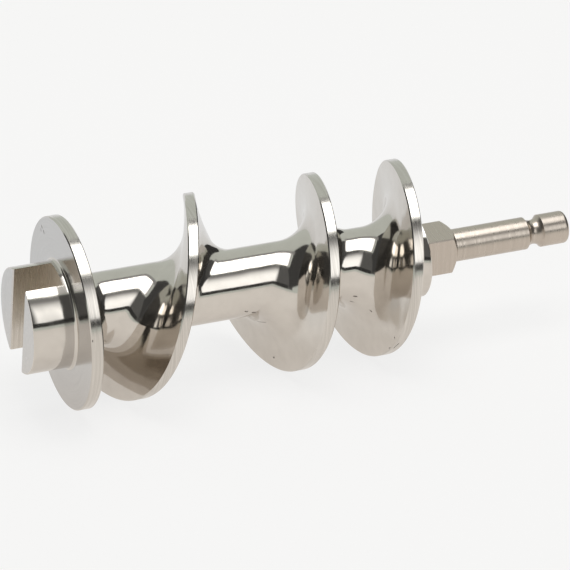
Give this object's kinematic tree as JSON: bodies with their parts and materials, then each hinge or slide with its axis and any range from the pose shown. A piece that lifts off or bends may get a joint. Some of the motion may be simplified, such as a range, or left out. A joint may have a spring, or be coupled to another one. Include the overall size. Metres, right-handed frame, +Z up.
{
  "type": "meat grinder auger",
  "caption": "Polished feed screw of a meat grinder: slotted drive boss, rear disc, left-hand flight of falling pitch, square for the knife and grooved end pin.",
  "frame": {"origin": "on the floor under the middle of the screw's length, straight below its axis", "axes": "+X along the axis from the slotted drive end to the end pin, +Z up, the screw lying on its rims"},
  "size_m": [0.176, 0.058, 0.058],
  "materials": {
    "body_polish": "mirror-polished stainless casting",
    "pin_satin": "satin turned and milled steel"
  },
  "bodies": {
    "root": {"auger_body": "body_polish", "knife_pin": "pin_satin"}
  },
  "joints": []
}
